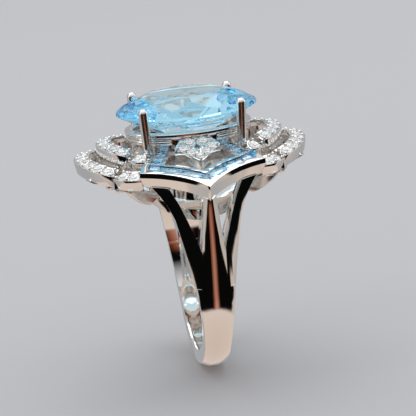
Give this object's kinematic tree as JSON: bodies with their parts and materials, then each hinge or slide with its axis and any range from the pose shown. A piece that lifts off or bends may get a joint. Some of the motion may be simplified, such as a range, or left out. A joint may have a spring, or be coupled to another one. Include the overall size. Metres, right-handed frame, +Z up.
{
  "type": "cocktail ring",
  "caption": "Ring with a large oval blue stone in four claws, stepped arcs of small clear stones, kite-shaped blue channel panels and a split shank.",
  "frame": {"origin": "centre of the finger hole, midway along the ring's width", "axes": "+X along the finger and the long axis of the oval stone, +Y across the finger from one shoulder to the other, +Z up through the middle of the head"},
  "size_m": [0.0232, 0.023, 0.0281],
  "materials": {
    "rhodium_white_metal": "bright polished rhodium-plated white metal",
    "swiss_blue_stone": "faceted transparent bright blue stone",
    "blue_channel_stone": "faceted transparent blue stone",
    "clear_round_stone": "faceted colourless stone"
  },
  "bodies": {
    "root": {"split_shank": "rhodium_white_metal", "finger_rail": "rhodium_white_metal", "left_gallery": "rhodium_white_metal", "right_gallery": "rhodium_white_metal", "stone_basket": "rhodium_white_metal", "front_left_claw": "rhodium_white_metal", "front_right_claw": "rhodium_white_metal", "back_left_claw": "rhodium_white_metal", "back_right_claw": "rhodium_white_metal", "centre_stone": "swiss_blue_stone", "front_panel_frame": "rhodium_white_metal", "back_panel_frame": "rhodium_white_metal", "front_channel_stones": "blue_channel_stone", "back_channel_stones": "blue_channel_stone", "front_lozenge": "rhodium_white_metal", "back_lozenge": "rhodium_white_metal", "front_lozenge_stones": "clear_round_stone", "back_lozenge_stones": "clear_round_stone", "left_inner_tier": "rhodium_white_metal", "right_inner_tier": "rhodium_white_metal", "left_outer_tier": "rhodium_white_metal", "right_outer_tier": "rhodium_white_metal", "left_inner_tier_stones": "clear_round_stone", "right_inner_tier_stones": "clear_round_stone", "left_outer_tier_stones": "clear_round_stone", "right_outer_tier_stones": "clear_round_stone", "left_inner_tier_grains": "rhodium_white_metal", "right_inner_tier_grains": "rhodium_white_metal", "left_outer_tier_grains": "rhodium_white_metal", "right_outer_tier_grains": "rhodium_white_metal"}
  },
  "joints": []
}
